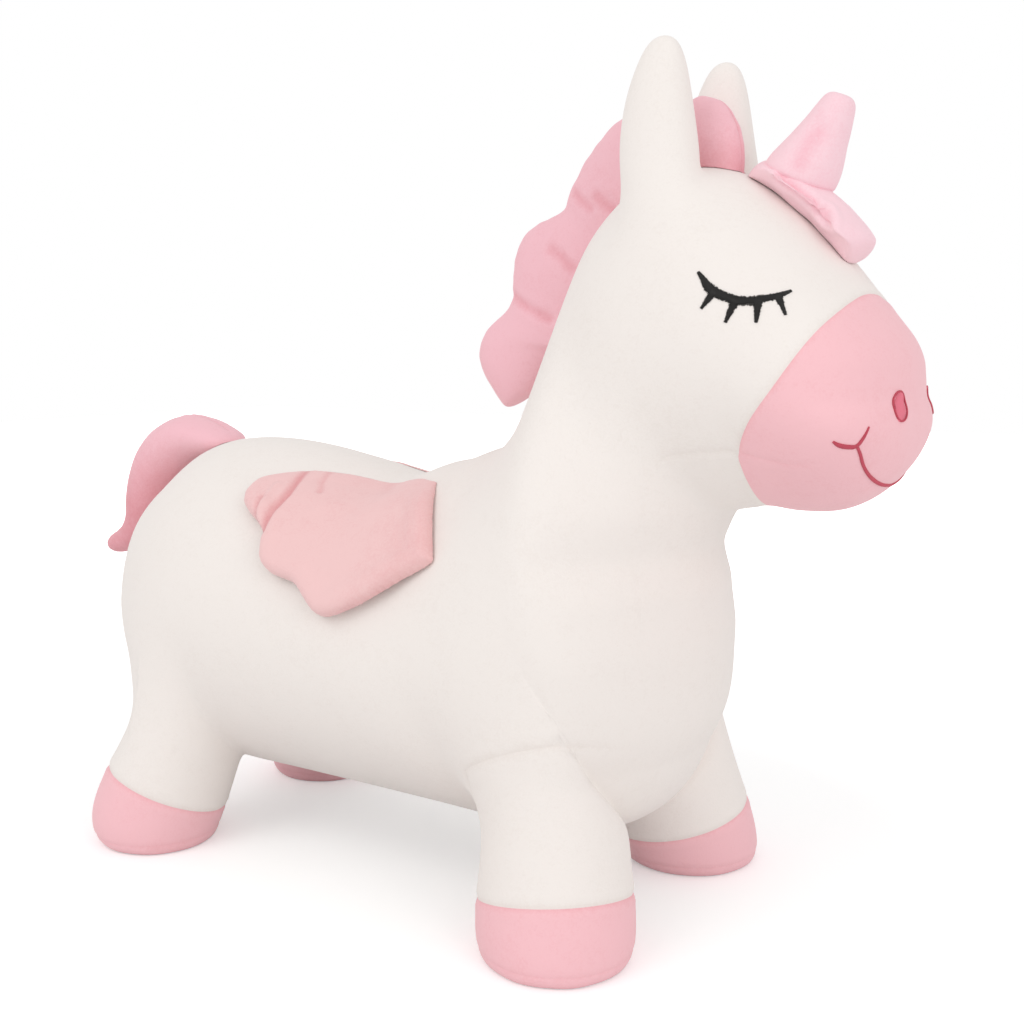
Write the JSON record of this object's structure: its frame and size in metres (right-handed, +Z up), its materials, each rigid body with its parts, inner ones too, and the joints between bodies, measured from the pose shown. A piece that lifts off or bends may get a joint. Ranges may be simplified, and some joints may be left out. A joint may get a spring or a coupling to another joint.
{
  "type": "inflatable bouncy ride-on animal",
  "caption": "Inflatable bouncy ride-on unicorn in a zipped plush cover, with padded mane, tail, horn and wings and upright ears to hold.",
  "frame": {"origin": "on the floor, under the centre of the part's bounding box", "axes": "+X forward to the muzzle, +Y to the animal's left, +Z up"},
  "size_m": [0.5936, 0.2442, 0.4692],
  "materials": {
    "white_plush": "short warm white plush",
    "pink_plush": "short pink plush",
    "rose_plush": "short rose plush over padding",
    "pale_pink_plush": "short pale pink plush over padding",
    "dusty_pink_plush": "short dusty pink plush over padding",
    "dark_thread": "satin stitched dark brown thread",
    "rose_thread": "satin stitched rose thread",
    "soft_vinyl": "soft semi-gloss vinyl",
    "zip_tape": "woven tape",
    "zip_nylon": "moulded nylon",
    "zip_metal": "plated zinc"
  },
  "bodies": {
    "body": {"air_bladder": "soft_vinyl", "valve_collar": "soft_vinyl", "side_panel_right": "white_plush", "side_panel_left": "white_plush", "belly_gusset": "white_plush", "leg_sleeve_right": "white_plush", "leg_sleeve_left": "white_plush", "chin_panel": "pink_plush", "muzzle_panel": "pink_plush", "hoof_band_front_right": "pink_plush", "hoof_band_front_left": "pink_plush", "hoof_band_rear_right": "pink_plush", "hoof_band_rear_left": "pink_plush", "sole_front_right": "pink_plush", "sole_front_left": "pink_plush", "sole_rear_right": "pink_plush", "sole_rear_left": "pink_plush", "mane": "rose_plush", "forelock": "rose_plush", "horn_pad": "pale_pink_plush", "horn": "pale_pink_plush", "eye_lashes_right": "dark_thread", "eye_lashes_left": "dark_thread", "nostril_right": "rose_thread", "nostril_left": "rose_thread", "smile": "rose_thread", "smile_tick_right": "rose_thread", "smile_tick_left": "rose_thread", "zip_tape_right": "zip_tape", "zip_tape_left": "zip_tape", "zip_teeth_right": "zip_nylon", "zip_teeth_left": "zip_nylon", "zip_stop_front": "zip_metal", "zip_stop_rear": "zip_metal"},
    "valve_plug": {"valve_plug": "soft_vinyl"},
    "zip_slider": {"zip_slider": "zip_metal"},
    "zip_pull": {"zip_pull": "zip_metal"},
    "wing_right": {"wing_right": "dusty_pink_plush"},
    "wing_left": {"wing_left": "dusty_pink_plush"},
    "tail": {"tail": "rose_plush"}
  },
  "joints": [
    {"name": "plug_pull", "type": "slide", "parent": "body", "child": "valve_plug", "axis": [0, 0, -1], "range_m": [0, 0.014]},
    {"name": "zip_run", "type": "slide", "parent": "body", "child": "zip_slider", "axis": [-1, 0, 0], "range_m": [0, 0.12]},
    {"name": "pull_swing", "type": "hinge", "parent": "zip_slider", "child": "zip_pull", "pos_m": [0.0452, 0, 0.0404], "axis": [0, 1, 0], "range_deg": [-80, 80]},
    {"name": "wing_right_lift", "type": "hinge", "parent": "body", "child": "wing_right", "pos_m": [0.046, -0.06248, 0.22706], "axis": [-0.4643, 0.765, 0.4463], "range_deg": [0, 75], "stiffness_Nm_per_rad": 0.02},
    {"name": "wing_left_lift", "type": "hinge", "parent": "body", "child": "wing_left", "pos_m": [0.046, 0.06248, 0.22706], "axis": [0.4643, 0.765, -0.4463], "range_deg": [0, 75], "stiffness_Nm_per_rad": 0.02},
    {"name": "tail_lift", "type": "hinge", "parent": "body", "child": "tail", "pos_m": [-0.16462, 0, 0.25279], "axis": [0, 1, 0], "range_deg": [0, 70], "stiffness_Nm_per_rad": 0.05}
  ]
}
